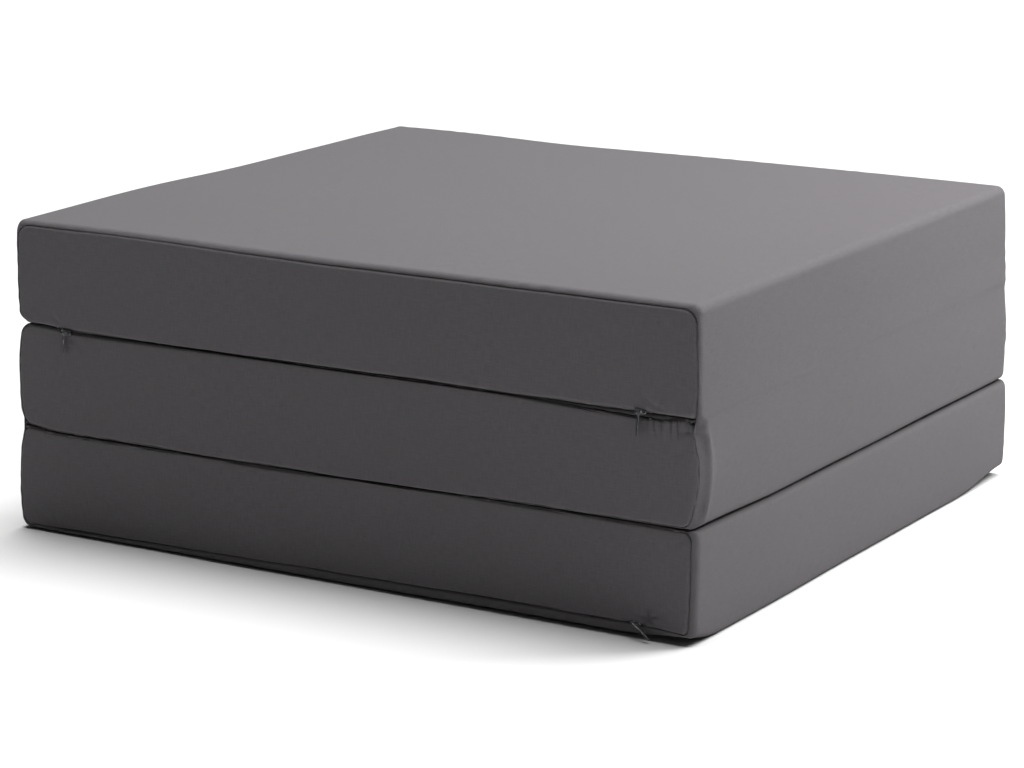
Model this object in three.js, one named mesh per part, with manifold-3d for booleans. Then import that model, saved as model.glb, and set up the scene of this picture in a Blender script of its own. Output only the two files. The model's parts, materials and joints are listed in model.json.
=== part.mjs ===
// A folding foam guest mattress: three equal sections stacked in a zigzag, each a foam core in a sewn cover
// with a zip along its front edge. Millimetres, +Z up, front at -Y, origin under the middle of the stack.
import * as THREE from "three";
import { RoundedBoxGeometry } from "three/addons/geometries/RoundedBoxGeometry.js";
import { mergeVertices } from "three/addons/utils/BufferGeometryUtils.js";
import Module from "manifold-3d";

// The stack
const LENGTH = 650; // along X
const WIDTH = 600; // along Y
const THICKNESS = 88.6; // of one section
const PITCH = 89; // from one section's underside to the next one's
const EDGE_RADIUS = 5;
const FOLD_SETBACK = 1.5; // an end face beside a fold stands this far inside the fold line
const GAP = 0.3; // between pieces that touch

// The cover and the foam
const CLOTH = 1.2;
const FOAM_INSET = 2.6;
const FOAM_RADIUS = 8;
const SEAM_INSET = 4.5; // how far the sleeping and under cloths turn onto the front and back
const PANEL_CORNER = 12;
const PANEL_REACH = 8; // depth of the cut that parts a panel from the rest of the shell
const BORDER_REACH = 20; // how far the cut between the two cloths runs before it turns, inside and outside
const PLATE_ROUNDING = 0.4; // share of the slider plate's thickness
const FOLD_SEAM = { radius: 1.6, inset: 1.8, length: 590 };

// The zips
const ZIP_HALF = 284;
const SLOT = { half: 1, above: 1, depth: 1.5 * CLOTH }; // the opening between the two cloth edges
const COIL = { near: 0.15, far: 0.85, top: 0.25, bottom: 1.2 };
const TAPE = { width: 12, top: CLOTH + GAP, bottom: CLOTH + GAP + 0.4 };
const STOP = { length: 2.4, half: 0.85 };
const SLIDER = { length: 10.6, height: 6, plate: 1, reach: 4, bar: 0.8, legs: 5.2 };
const PULL = { length: 21, width: 3, corner: 1.4, thickness: 0.8, rim: 1.2 };
const EYE = { length: 5.2, width: 1.8, corner: 0.8 }; // the slot in the pull
const HANGING = { barFromSlotEnd: 0.9, lean: 0 };
const LEANING = { barFromSlotEnd: 2.3, lean: THREE.MathUtils.degToRad(63) };

// Each section: sleepUp says whether its sleeping face is its upper face, foldEnds which end faces meet a
// fold, zipInset how far the zip is from the edge that it follows, and sliderX where its slider is parked.
const SECTIONS = [
  { name: "bottom", sleepUp: true, foldEnds: [-1], zipUp: false, zipInset: 9.5, sliderX: 268, pull: LEANING },
  { name: "middle", sleepUp: false, foldEnds: [-1, 1], zipUp: true, zipInset: 2.5, sliderX: -268, pull: HANGING },
  { name: "top", sleepUp: true, foldEnds: [1], zipUp: false, zipInset: 2.5, sliderX: 275, pull: HANGING },
];

const FINISHES = {
  cloth: { color: 0x55545a, roughness: 0.95, metalness: 0 },
  panel: { color: 0x48474b, roughness: 0.95, metalness: 0 },
  foam: { color: 0xd9d3c0, roughness: 1, metalness: 0 },
  tape: { color: 0x2f2f32, roughness: 0.9, metalness: 0 },
  coil: { color: 0x1d1d20, roughness: 0.5, metalness: 0 },
  metal: { color: 0x3a3a3e, roughness: 0.4, metalness: 0.9 },
};

const wasm = await Module();
wasm.setup();

// A closed three.js geometry as a solid that can be joined and cut.
function solid(geometry) {
  const bare = geometry.clone();
  bare.deleteAttribute("normal");
  bare.deleteAttribute("uv");
  const merged = mergeVertices(bare, 1e-3);
  return new wasm.Manifold(
    new wasm.Mesh({
      numProp: 3,
      vertProperties: merged.attributes.position.array,
      triVerts: new Uint32Array(merged.index.array),
    }),
  );
}

// A solid back as a three.js geometry.
function geometryOf(made) {
  const mesh = made.getMesh();
  const geometry = new THREE.BufferGeometry();
  geometry.setAttribute("position", new THREE.BufferAttribute(new Float32Array(mesh.vertProperties), 3));
  geometry.setIndex(new THREE.BufferAttribute(new Uint32Array(mesh.triVerts), 1));
  geometry.computeVertexNormals();
  return geometry;
}

function piece(name, geometry, finish) {
  const mesh = new THREE.Mesh(geometry, new THREE.MeshStandardMaterial(FINISHES[finish]));
  mesh.name = name;
  return mesh;
}

// A rectangle with round corners, centred on (x, y).
function roundedRectangle(path, x, y, width, height, radius) {
  const [left, right] = [x - width / 2, x + width / 2];
  const [low, high] = [y - height / 2, y + height / 2];
  path.moveTo(left + radius, low);
  path.lineTo(right - radius, low);
  path.absarc(right - radius, low + radius, radius, -Math.PI / 2, 0);
  path.lineTo(right, high - radius);
  path.absarc(right - radius, high - radius, radius, 0, Math.PI / 2);
  path.lineTo(left + radius, high);
  path.absarc(left + radius, high - radius, radius, Math.PI / 2, Math.PI);
  path.lineTo(left, low + radius);
  path.absarc(left + radius, low + radius, radius, Math.PI, 1.5 * Math.PI);
  return path;
}

// A shape drawn in X (right) and Z (up), given a depth along Y from yFront to yBack.
function alongY(shape, yFront, yBack, curveSegments = 4) {
  const options = { depth: yBack - yFront, bevelEnabled: false, curveSegments };
  const geometry = new THREE.ExtrudeGeometry(shape, options);
  return geometry.rotateX(Math.PI / 2).translate(0, yBack, 0);
}

// A shape drawn in Y (right) and Z (up), given a length along X from xStart to xEnd.
function alongX(shape, xStart, xEnd, curveSegments = 4) {
  const options = { depth: xEnd - xStart, bevelEnabled: false, curveSegments };
  const geometry = new THREE.ExtrudeGeometry(shape, options);
  return geometry.rotateX(Math.PI / 2).rotateZ(Math.PI / 2).translate(xStart, 0, 0);
}

// The two ends of a section along X, before any inset.
function ends(section) {
  return [-1, 1].map((side) => side * (LENGTH / 2 - (section.foldEnds.includes(side) ? FOLD_SETBACK : 0)));
}

// A block with round edges that fills a section's place, smaller by inset on every side.
function block(section, inset, radius) {
  const [low, high] = ends(section);
  const size = [high - low - 2 * inset, WIDTH - 2 * inset, THICKNESS - 2 * inset];
  return new RoundedBoxGeometry(...size, 2, radius).translate((low + high) / 2, 0, THICKNESS / 2);
}

// The outline of a front or back panel: SEAM_INSET inside the section, and on the front zipInset along the zip.
function panelOutline(section, front, grow) {
  const [low, high] = ends(section);
  const zipSide = front ? section.zipInset : SEAM_INSET;
  const under = (section.zipUp ? SEAM_INSET : zipSide) - grow;
  const over = (section.zipUp ? zipSide : SEAM_INSET) - grow;
  const width = high - low - 2 * (SEAM_INSET - grow);
  const height = THICKNESS - under - over;
  const middle = (THICKNESS + under - over) / 2;
  return roundedRectangle(new THREE.Shape(), (low + high) / 2, middle, width, height, PANEL_CORNER);
}

// The half of a section that its sleeping cloth covers: one broad face and the end face at +X. The border
// between the halves leaves the block at 45 degrees through two opposite long edges.
function sleepingHalf(section, shift) {
  const [low, high] = ends(section);
  const flip = (x, z) => (section.sleepUp ? [x, z] : [x, THICKNESS - z]);
  const shape = new THREE.Shape();
  const reach = BORDER_REACH;
  shape.moveTo(...flip(low - reach, THICKNESS + reach + 2 * shift));
  shape.lineTo(...flip(low + reach, THICKNESS - reach + 2 * shift));
  shape.lineTo(...flip(high - reach + 2 * shift, reach));
  shape.lineTo(...flip(high + reach + 2 * shift, -reach));
  shape.lineTo(...flip(high + 3 * reach, -reach));
  shape.lineTo(...flip(high + 3 * reach, THICKNESS + 3 * reach));
  shape.lineTo(...flip(low - reach, THICKNESS + 3 * reach));
  return solid(alongY(shape, -WIDTH, WIDTH));
}

// A point of the cover's round front edge beside the zip. It is at t along the surface, which starts where the
// flat front begins and is positive away from the edge, and it is offset inwards from the surface.
function edgePoint(section, t, offset) {
  const quarter = (EDGE_RADIUS * Math.PI) / 2;
  const angle = THREE.MathUtils.clamp(-t / EDGE_RADIUS, 0, Math.PI / 2);
  const reach = EDGE_RADIUS - offset;
  const depth = EDGE_RADIUS - reach * Math.cos(angle) + Math.max(0, -t - quarter);
  const inset = EDGE_RADIUS - reach * Math.sin(angle) + Math.max(0, t);
  return [-WIDTH / 2 + depth, section.zipUp ? THICKNESS - inset : inset];
}

// A strip that follows the front edge from t0 to t1, between two offsets from the cover's surface.
function edgeStrip(section, t0, t1, outer, inner, xStart, xEnd, steps = 1) {
  const along = Array.from({ length: steps + 1 }, (_, i) => t0 + ((t1 - t0) * i) / steps);
  const points = [
    ...along.map((t) => edgePoint(section, t, outer)),
    ...along.reverse().map((t) => edgePoint(section, t, inner)),
  ];
  return alongX(new THREE.Shape(points.map(([y, z]) => new THREE.Vector2(y, z))), xStart, xEnd);
}

// Where the zip is, as t of edgePoint.
function zipPlace(section) {
  if (section.zipInset >= EDGE_RADIUS) return section.zipInset - EDGE_RADIUS;
  return -EDGE_RADIUS * Math.asin(1 - section.zipInset / EDGE_RADIUS);
}

function foam(section) {
  return piece(section.name + "_foam_core", block(section, FOAM_INSET, FOAM_RADIUS), "foam");
}

// The cover: a shell cut into the front and back panels and the sleeping and under cloths, and open at the zip.
function cover(section) {
  const outside = solid(block(section, 0, EDGE_RADIUS));
  const shell = outside.subtract(solid(block(section, CLOTH, EDGE_RADIUS - CLOTH)));
  const place = zipPlace(section);
  const slot = solid(
    edgeStrip(section, place - SLOT.half, place + SLOT.half, -SLOT.above, SLOT.depth, -ZIP_HALF, ZIP_HALF),
  );
  const panel = (front, grow) => {
    const face = front ? -WIDTH / 2 : WIDTH / 2;
    return solid(alongY(panelOutline(section, front, grow), face - PANEL_REACH, face + PANEL_REACH));
  };
  const front = shell.intersect(panel(true, -GAP / 2)).subtract(slot);
  const back = shell.intersect(panel(false, -GAP / 2));
  const wrap = shell.subtract(panel(true, GAP / 2)).subtract(panel(false, GAP / 2)).subtract(slot);
  const halfGap = GAP / Math.SQRT2;
  const sleeping = wrap.intersect(sleepingHalf(section, halfGap / 2));
  const under = wrap.subtract(sleepingHalf(section, -halfGap / 2));
  return [
    piece(section.name + "_front_panel", geometryOf(front), "panel"),
    piece(section.name + "_back_panel", geometryOf(back), "panel"),
    piece(section.name + "_sleeping_cloth", geometryOf(sleeping), "cloth"),
    piece(section.name + "_under_cloth", geometryOf(under), "cloth"),
  ];
}

// The zip's two tapes, their coils and the two end stops.
function zip(section) {
  const place = zipPlace(section);
  const coilEnd = ZIP_HALF - STOP.length - 2 * GAP;
  const parts = [];
  for (const [side, label] of [[1, "panel_side"], [-1, "edge_side"]]) {
    const inner = place + side * COIL.near;
    const tapeEdge = place + side * TAPE.width;
    const coilEdge = place + side * COIL.far;
    const tape = edgeStrip(section, inner, tapeEdge, TAPE.top, TAPE.bottom, -ZIP_HALF, ZIP_HALF, 6);
    const coil = edgeStrip(section, inner, coilEdge, COIL.top, COIL.bottom, -coilEnd, coilEnd);
    parts.push(piece(`${section.name}_zip_tape_${label}`, outward(tape), "tape"));
    parts.push(piece(`${section.name}_zip_coil_${label}`, outward(coil), "coil"));
  }
  for (const [side, label] of [[-1, "left"], [1, "right"]]) {
    const near = side * (coilEnd + GAP);
    const far = near + side * STOP.length;
    const [start, stopEnd] = [Math.min(near, far), Math.max(near, far)];
    const [lowT, highT] = [place - STOP.half, place + STOP.half];
    const stop = edgeStrip(section, lowT, highT, COIL.top, COIL.bottom, start, stopEnd);
    parts.push(piece(`${section.name}_zip_stop_${label}`, outward(stop), "metal"));
  }
  return parts;
}

// A geometry whose faces are turned to point out, whichever way its outline was drawn.
function outward(geometry) {
  const made = solid(geometry);
  if (made.volume() > 0) return geometryOf(made);
  const indexed = mergeVertices(geometry.clone(), 1e-3);
  const order = indexed.index.array;
  for (let i = 0; i < order.length; i += 3) {
    [order[i + 1], order[i + 2]] = [order[i + 2], order[i + 1]];
  }
  return indexed;
}

// The slider: a plate over the coil, with a bridge that the pull hangs on.
function slider(section) {
  const rounding = SLIDER.plate * PLATE_ROUNDING;
  const plate = new RoundedBoxGeometry(SLIDER.length, SLIDER.plate, SLIDER.height, 1, rounding);
  plate.translate(0, -GAP - SLIDER.plate / 2, 0);
  const arch = new THREE.Shape();
  const [foot, out] = [GAP + SLIDER.plate / 2, SLIDER.reach + SLIDER.bar / 2];
  const [wide, narrow] = [SLIDER.legs, SLIDER.legs - SLIDER.bar];
  arch.moveTo(-wide, -foot);
  arch.lineTo(-wide, -out);
  arch.lineTo(wide, -out);
  arch.lineTo(wide, -foot);
  arch.lineTo(narrow, -foot);
  arch.lineTo(narrow, -out + SLIDER.bar);
  arch.lineTo(-narrow, -out + SLIDER.bar);
  arch.lineTo(-narrow, -foot);
  const bridge = new THREE.ExtrudeGeometry(arch, { depth: SLIDER.bar, bevelEnabled: false });
  bridge.translate(0, 0, -SLIDER.bar / 2);
  const mesh = piece(section.name + "_zip_slider", geometryOf(solid(plate).add(solid(bridge))), "metal");
  mesh.position.set(section.sliderX, -WIDTH / 2, sliderHeight(section));
  return mesh;
}

function sliderHeight(section) {
  return section.zipUp ? THICKNESS - section.zipInset : section.zipInset;
}

// The pull: a tab with a long eye around the slider's bridge. It hangs edge-on, or leans towards +X.
function pull(section) {
  const { barFromSlotEnd, lean } = section.pull;
  const top = PULL.rim + barFromSlotEnd;
  const middle = top - PULL.length / 2;
  const tab = roundedRectangle(new THREE.Shape(), 0, middle, PULL.width, PULL.length, PULL.corner);
  const eyeMiddle = barFromSlotEnd - EYE.length / 2;
  tab.holes.push(roundedRectangle(new THREE.Path(), 0, eyeMiddle, EYE.width, EYE.length, EYE.corner));
  const geometry = alongX(tab, -PULL.thickness / 2, PULL.thickness / 2, 3);
  const mesh = piece(section.name + "_zip_pull", geometry, "metal");
  mesh.position.set(section.sliderX, -WIDTH / 2 - SLIDER.reach, sliderHeight(section));
  mesh.rotation.y = -lean;
  return mesh;
}

// The rolled seam in a fold, which joins the covers of the section below and the section above.
function foldSeam(name, side, height) {
  const { radius, inset, length } = FOLD_SEAM;
  const mesh = piece(name, new THREE.CylinderGeometry(radius, radius, length, 8), "cloth");
  mesh.position.set(side * (LENGTH / 2 - inset), 0, height);
  return mesh;
}

const mattress = new THREE.Group();
SECTIONS.forEach((section, level) => {
  const group = new THREE.Group();
  group.position.z = level * PITCH;
  group.add(foam(section), ...cover(section), ...zip(section), slider(section), pull(section));
  mattress.add(group);
});
const foldHeight = (level) => level * PITCH - (PITCH - THICKNESS) / 2;
mattress.add(foldSeam("lower_fold_seam", -1, foldHeight(1)));
mattress.add(foldSeam("upper_fold_seam", 1, foldHeight(2)));

export default mattress;
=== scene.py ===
# %% [markdown]
# # A folding guest mattress, sewn and zipped
# The mattress is three foam blocks in cloth covers, folded in a zigzag into a low square stack. The solid model
# already holds its sizes, its folds and its zips. This lesson gives it its looks: cloth that rolls over the
# edges, panels that meet in seams, zips with real coils, and a charcoal weave.
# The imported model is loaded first, because every cloth piece is placed by its boxes.

# %% Load the frame
import json
import math

import bmesh
import bpy
import numpy as np
from mathutils import Matrix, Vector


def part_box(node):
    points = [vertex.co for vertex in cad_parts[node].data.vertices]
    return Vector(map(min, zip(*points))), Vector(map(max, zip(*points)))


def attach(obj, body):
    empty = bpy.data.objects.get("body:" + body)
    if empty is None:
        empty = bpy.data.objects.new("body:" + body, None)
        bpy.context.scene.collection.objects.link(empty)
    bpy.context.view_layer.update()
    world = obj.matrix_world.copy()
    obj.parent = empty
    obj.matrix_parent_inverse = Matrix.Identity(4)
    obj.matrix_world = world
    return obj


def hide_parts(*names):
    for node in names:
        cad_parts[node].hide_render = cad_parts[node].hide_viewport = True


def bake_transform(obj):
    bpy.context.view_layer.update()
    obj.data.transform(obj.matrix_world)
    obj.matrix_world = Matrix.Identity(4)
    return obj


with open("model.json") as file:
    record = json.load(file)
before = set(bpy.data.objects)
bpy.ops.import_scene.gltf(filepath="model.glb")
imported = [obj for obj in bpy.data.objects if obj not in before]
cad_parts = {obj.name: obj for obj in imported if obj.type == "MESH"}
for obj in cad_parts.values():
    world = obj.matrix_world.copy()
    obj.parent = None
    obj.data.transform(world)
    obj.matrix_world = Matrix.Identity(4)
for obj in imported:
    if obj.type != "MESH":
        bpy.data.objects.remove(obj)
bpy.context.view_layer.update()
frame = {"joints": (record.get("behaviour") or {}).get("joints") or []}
MM = 0.001

# %% [markdown]
# ## Camera
# A product picture of a low stack is taken from a little above, with a long lens that keeps its edges nearly
# parallel. The camera is placed as a tripod would be: a place, a heading, a tilt and a lens.

# %% Camera
CAMERA_PLACE = (1.3789, -2.3578, 0.757)
CAMERA_HEADING = math.radians(120.577)
CAMERA_TILT = math.radians(-13.436)
CAMERA_ROLL = math.radians(0.137)
LENS = 112.71


def camera_axes(heading, tilt, roll):
    """The camera's right, up and back directions. Forward is (cos t cos h, cos t sin h, sin t); right and up are
    level and square to it, and both are then turned about it by the roll."""
    forward = np.array([math.cos(tilt) * math.cos(heading), math.cos(tilt) * math.sin(heading), math.sin(tilt)])
    level = np.cross(forward, [0, 0, 1])
    level /= np.linalg.norm(level)
    upright = np.cross(level, forward)
    right = math.cos(roll) * level + math.sin(roll) * upright
    return right, np.cross(right, forward), -forward


def standing(right, up, back, place):
    """The matrix of a camera or a lamp from its three directions and its place."""
    rows = np.eye(4)
    rows[:3] = np.stack([right, up, back, place], axis=1)
    return Matrix(rows.tolist())


def make_camera():
    data = bpy.data.cameras.new("camera")
    data.lens = LENS
    data.clip_end = 100
    camera = bpy.data.objects.new("camera", data)
    bpy.context.scene.collection.objects.link(camera)
    right, up, back = camera_axes(CAMERA_HEADING, CAMERA_TILT, CAMERA_ROLL)
    camera.matrix_world = standing(right, up, back, CAMERA_PLACE)
    bpy.context.scene.camera = camera
    print("camera at", CAMERA_PLACE, "lens", LENS)


make_camera()

# %% [markdown]
# ## Floor and light
# The stack stands on a plain pale floor. A broad soft sun from the right and a little behind lights the upper
# faces most and the right side less, and a soft box near the right end makes that end a little brighter. The
# front gets only what the floor throws back, so the three faces of a block read apart.

# %% Floor and light
FLOOR_SIZE = 60.0
FLOOR_SHADE = 0.61
SUN_HEADING = (0.01, 0.17, 0.90)
bpy.context.scene.view_settings.view_transform = "Standard"


def make_floor():
    mesh = bpy.data.meshes.new("floor")
    half = FLOOR_SIZE / 2
    mesh.from_pydata([(-half, -half, 0), (half, -half, 0), (half, half, 0), (-half, half, 0)], [], [(0, 1, 2, 3)])
    floor = bpy.data.objects.new("floor", mesh)
    bpy.context.scene.collection.objects.link(floor)
    material = bpy.data.materials.new("floor_paint")
    material.use_nodes = True
    shader = material.node_tree.nodes["Principled BSDF"]
    shader.inputs["Base Color"].default_value = (FLOOR_SHADE, FLOOR_SHADE, FLOOR_SHADE, 1)
    shader.inputs["Roughness"].default_value = 0.95
    mesh.materials.append(material)


def lamp(kind, place, target, power):
    """A lamp at place that shines towards target."""
    data = bpy.data.lights.new(kind.lower(), kind)
    data.energy = power
    light = bpy.data.objects.new(kind.lower(), data)
    bpy.context.scene.collection.objects.link(light)
    back = np.array(place, float) - np.array(target, float)
    back /= np.linalg.norm(back)
    right = np.cross([0, 0, 1], back)
    right /= np.linalg.norm(right)
    light.matrix_world = standing(right, np.cross(back, right), back, place)
    return data


def make_sky(strength):
    """An even white surround."""
    world = bpy.data.worlds.new("studio")
    bpy.context.scene.world = world
    world.use_nodes = True
    background = world.node_tree.nodes["Background"]
    background.inputs["Color"].default_value = (1, 1, 1, 1)
    background.inputs["Strength"].default_value = strength


make_floor()
make_sky(0.05)
lamp("SUN", SUN_HEADING, (0, 0, 0), 5.5).angle = 0.7
lamp("AREA", (1.03, 0.66, 1.17), (0.2, 0, 0.2), 25).size = 0.6
print("lights ready")

# %% [markdown]
# ## Shader arithmetic
# A weave is a formula, so its material is written as one. Signal wraps a number that varies over the surface,
# and plus, minus, times and power on it add the Math nodes. Finish holds one material and makes any other node.

# %% Signal and Finish


class Signal:
    """A number that varies over a surface. Arithmetic on it adds Math nodes."""

    def __init__(self, finish, socket):
        self.finish = finish
        self.socket = socket

    def math(self, operation, *values):
        node = self.finish.node("ShaderNodeMath", {"operation": operation}, dict(enumerate(values)))
        return Signal(self.finish, node.outputs[0])

    def __add__(self, other):
        return self.math("ADD", self, other)

    def __sub__(self, other):
        return self.math("SUBTRACT", self, other)

    def __mul__(self, other):
        return self.math("MULTIPLY", self, other)

    def __pow__(self, other):
        return self.math("POWER", self, other)

    def __rsub__(self, other):
        return self.math("SUBTRACT", other, self)

    __radd__ = __add__
    __rmul__ = __mul__

    def sine(self):
        return self.math("SINE", self)

    def size(self):
        return self.math("ABSOLUTE", self)

    def largest(self, other):
        return self.math("MAXIMUM", self, other)


class Finish:
    """One material and its nodes."""

    def __init__(self, name, **sockets):
        self.material = bpy.data.materials.new(name)
        self.material.use_nodes = True
        self.tree = self.material.node_tree
        self.shader = self.tree.nodes["Principled BSDF"]
        for socket, value in sockets.items():
            self.shader.inputs[socket.replace("_", " ")].default_value = value

    def node(self, kind, settings=None, inputs=None):
        """A node of the given type, with its settings first and then the values or links of its sockets."""
        made = self.tree.nodes.new(kind)
        for key, value in (settings or {}).items():
            setattr(made, key, value)
        for key, value in (inputs or {}).items():
            value = value.socket if isinstance(value, Signal) else value
            if isinstance(value, bpy.types.NodeSocket):
                self.tree.links.new(value, made.inputs[key])
            else:
                made.inputs[key].default_value = value
        return made

    def signal(self, kind, output, settings=None, inputs=None):
        return Signal(self, self.node(kind, settings, inputs).outputs[output])

    def noise(self, vector, scale, detail=2.0, roughness=0.5):
        """Even noise from 0 to 1 at a number of cells per metre."""
        inputs = {"Vector": vector, "Scale": scale, "Detail": detail, "Roughness": roughness}
        return self.signal("ShaderNodeTexNoise", "Fac", None, inputs)

    def stretched(self, vector, scale):
        """The vector times a scale along each axis, for a pattern that is longer one way."""
        node = self.node("ShaderNodeMapping", None, {"Vector": vector, "Scale": scale})
        return node.outputs["Vector"]

    def mix(self, factor, first, second):
        """A colour between two colours."""
        node = self.node("ShaderNodeMix", {"data_type": "RGBA"})
        for socket, value in zip((node.inputs[0], node.inputs[6], node.inputs[7]), (factor, first, second)):
            value = value.socket if isinstance(value, Signal) else value
            if isinstance(value, bpy.types.NodeSocket):
                self.tree.links.new(value, socket)
            else:
                socket.default_value = value
        return node.outputs[2]

    def feed(self, socket, value):
        value = value.socket if isinstance(value, Signal) else value
        self.tree.links.new(value, self.shader.inputs[socket])

    def bump(self, height, distance, strength=1.0):
        """Feeds a height, from 0 to 1 over the given distance in metres, to the surface's normal."""
        bump = self.node("ShaderNodeBump", None, {"Height": height, "Distance": distance, "Strength": strength})
        self.feed("Normal", bump.outputs["Normal"])


print("shader helpers ready")

# %% [markdown]
# ## Charcoal weave
# The covers are a plain weave of charcoal yarns that aren't all the same grey: some are a little lighter, and
# thick places in the yarn make short streaks along both thread directions. The height of a plain weave is the
# taller of two crossing threads, each of which rises where it passes over the other. The threads follow each
# piece's own UV map, which is in metres along the cloth, so they turn over the edges with it.

# %% Weave material
THREAD = 0.62 * MM
CHARCOAL = (0.100, 0.0945, 0.099, 1)
CHARCOAL_LIGHT = (0.146, 0.137, 0.145, 1)
CHARCOAL_DARK = (0.070, 0.066, 0.0695, 1)


def weave_height(finish, along, across):
    """Threads along and across, each |sin| of its place, lifted and lowered by the product of both sines."""
    turn = math.pi / THREAD
    warp = (along * turn).sine()
    weft = (across * turn).sine()
    over = warp * weft * 0.5
    return (warp.size() * (over + 0.5)).largest(weft.size() * (0.5 - over))


def cloth_finish(name):
    finish = Finish(name, Roughness=0.9, Specular_IOR_Level=0.12, Sheen_Weight=0.08, Sheen_Roughness=0.5)
    uv = finish.node("ShaderNodeUVMap", {"uv_map": "cloth"}).outputs["UV"]
    place = finish.node("ShaderNodeTexCoord").outputs["Object"]
    split = finish.node("ShaderNodeSeparateXYZ", None, {"Vector": uv})
    along, across = Signal(finish, split.outputs["X"]), Signal(finish, split.outputs["Y"])
    weave = weave_height(finish, along, across)
    slub_along = finish.noise(finish.stretched(uv, (90, 1300, 1)), 1.0, 3.0, 0.6)
    slub_across = finish.noise(finish.stretched(uv, (1300, 90, 1)), 1.0, 3.0, 0.6)
    heather = (slub_along + slub_across) * 0.5
    wash = finish.noise(place, 7.0, 3.0, 0.55)
    tone = finish.mix((heather - 0.5) * 1.7 + 0.45, CHARCOAL_DARK, CHARCOAL_LIGHT)
    tone = finish.mix((wash - 0.5) * 0.9 + 0.35, tone, CHARCOAL)
    finish.feed("Base Color", tone)
    finish.feed("Roughness", 0.82 + weave * 0.12)
    finish.bump(weave * 0.6 + heather * 0.8, 0.35 * MM, 0.8)
    return finish.material


CLOTH = cloth_finish("charcoal_weave")
print("cloth material ready")

# %% [markdown]
# ## Grids into meshes
# Every cloth piece is a surface: a grid of points worked out by formula as whole arrays. One function turns a
# grid into a mesh with faces that point outwards, smooth shading and a UV map, and a solidify modifier gives
# the sheet its thickness on the inner side.

# %% Grid helpers
CLOTH_THICKNESS = 0.8 * MM


def smoothstep(low, high, value):
    """0 below low, 1 above high, and 3t^2 - 2t^3 between."""
    t = np.clip((value - low) / (high - low), 0, 1)
    return t * t * (3 - 2 * t)


def hump(centre, width, value):
    """A bell: exp(-((value - centre) / width)^2)."""
    return np.exp(-(((value - centre) / width) ** 2))


def waves(points, length, count, seed):
    """The sum of count sine waves in random directions, of wavelengths near length, scaled to about -1 to 1."""
    rng = np.random.default_rng(seed)
    direction = rng.normal(size=(count, points.shape[-1]))
    direction /= np.linalg.norm(direction, axis=1, keepdims=True)
    turn = 2 * np.pi / (length * rng.uniform(0.7, 1.5, count))
    phase = rng.uniform(0, 2 * np.pi, count)
    return np.sin((points @ direction.T) * turn + phase).sum(-1) / math.sqrt(count)


def grid_faces(rows, columns, wrap_rows=False, wrap_columns=False):
    """The quads of a grid of points numbered row by row, as an array of four numbers each."""
    r = np.arange(rows if wrap_rows else rows - 1)
    c = np.arange(columns if wrap_columns else columns - 1)
    r, c = np.meshgrid(r, c, indexing="ij")
    r2, c2 = (r + 1) % rows, (c + 1) % columns
    quads = np.stack([r * columns + c, r2 * columns + c, r2 * columns + c2, r * columns + c2], axis=-1)
    return quads.reshape(-1, 4)


def grid_normals(grid):
    """Unit normals of a grid: the cross product of its differences along rows and columns."""
    normal = np.cross(np.gradient(grid, axis=0), np.gradient(grid, axis=1))
    return normal / np.maximum(np.linalg.norm(normal, axis=-1, keepdims=True), 1e-12)


def arc_length_uv(grid):
    """How far each point lies from the grid's middle along the cloth, in metres: the steps along its own row and
    along its own column, added up."""
    middle = [count // 2 for count in grid.shape[:2]]
    u = np.cumsum(np.linalg.norm(np.diff(grid, axis=0, prepend=grid[:1]), axis=-1), axis=0)
    v = np.cumsum(np.linalg.norm(np.diff(grid, axis=1, prepend=grid[:, :1]), axis=-1), axis=1)
    return np.stack([u - u[middle[0]], v - v[:, middle[1], None]], axis=-1)


def make_mesh(name, points, faces, material, uv=None):
    """An object at the origin from arrays of points and of faces, smooth shaded."""
    mesh = bpy.data.meshes.new(name)
    mesh.from_pydata(points.reshape(-1, 3).tolist(), [], [list(face) for face in faces])
    mesh.polygons.foreach_set("use_smooth", np.ones(len(mesh.polygons), bool))
    if uv is not None:
        corners = np.empty(len(mesh.loops), np.int32)
        mesh.loops.foreach_get("vertex_index", corners)
        layer = mesh.uv_layers.new(name="cloth")
        layer.data.foreach_set("uv", uv.reshape(-1, 2)[corners].astype(np.float32).ravel())
    mesh.materials.append(material)
    mesh.update()
    made = bpy.data.objects.new(name, mesh)
    bpy.context.scene.collection.objects.link(made)
    return made


def cloth_piece(name, grid, material, outward=1):
    """A cloth sheet from a grid. Outward is -1 for a grid whose row-to-column turn faces into the block."""
    faces = grid_faces(*grid.shape[:2])
    faces = faces if outward > 0 else faces[:, ::-1]
    made = make_mesh(name, grid, faces, material, arc_length_uv(grid))
    thick = made.modifiers.new("thickness", "SOLIDIFY")
    thick.thickness = CLOTH_THICKNESS
    thick.offset = -1
    thick.use_even_offset = False
    print(name, "has", len(faces), "quads")
    return made


# %% [markdown]
# ## The shape of a block
# Seen from the front, a block is a rectangle with a round corner at each end, and its cover is sewn from two
# outlines of that kind: the body, where the cloth is at its widest, and the seam, a little inside it on the
# front and back faces. Each outline is a box, four corner radii, and a swell that moves its sides: the sides
# bow out over the foam, and the seam line rises and falls as sewn lines do.

# %% Sections and outlines
CORNER_STEPS = 9
LONG_STEPS = 250
SHORT_STEPS = 42
OUTWARD = ((0, -1), (1, 0), (0, 1), (-1, 0))


def section_box(name):
    """The lowest and highest corners of a section's cover."""
    nodes = [f"{name}_{part}" for part in ("sleeping_cloth", "under_cloth", "front_panel", "back_panel")]
    lows, highs = zip(*(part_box(node) for node in nodes))
    return np.min(np.array(lows, float), axis=0), np.max(np.array(highs, float), axis=0)


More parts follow.
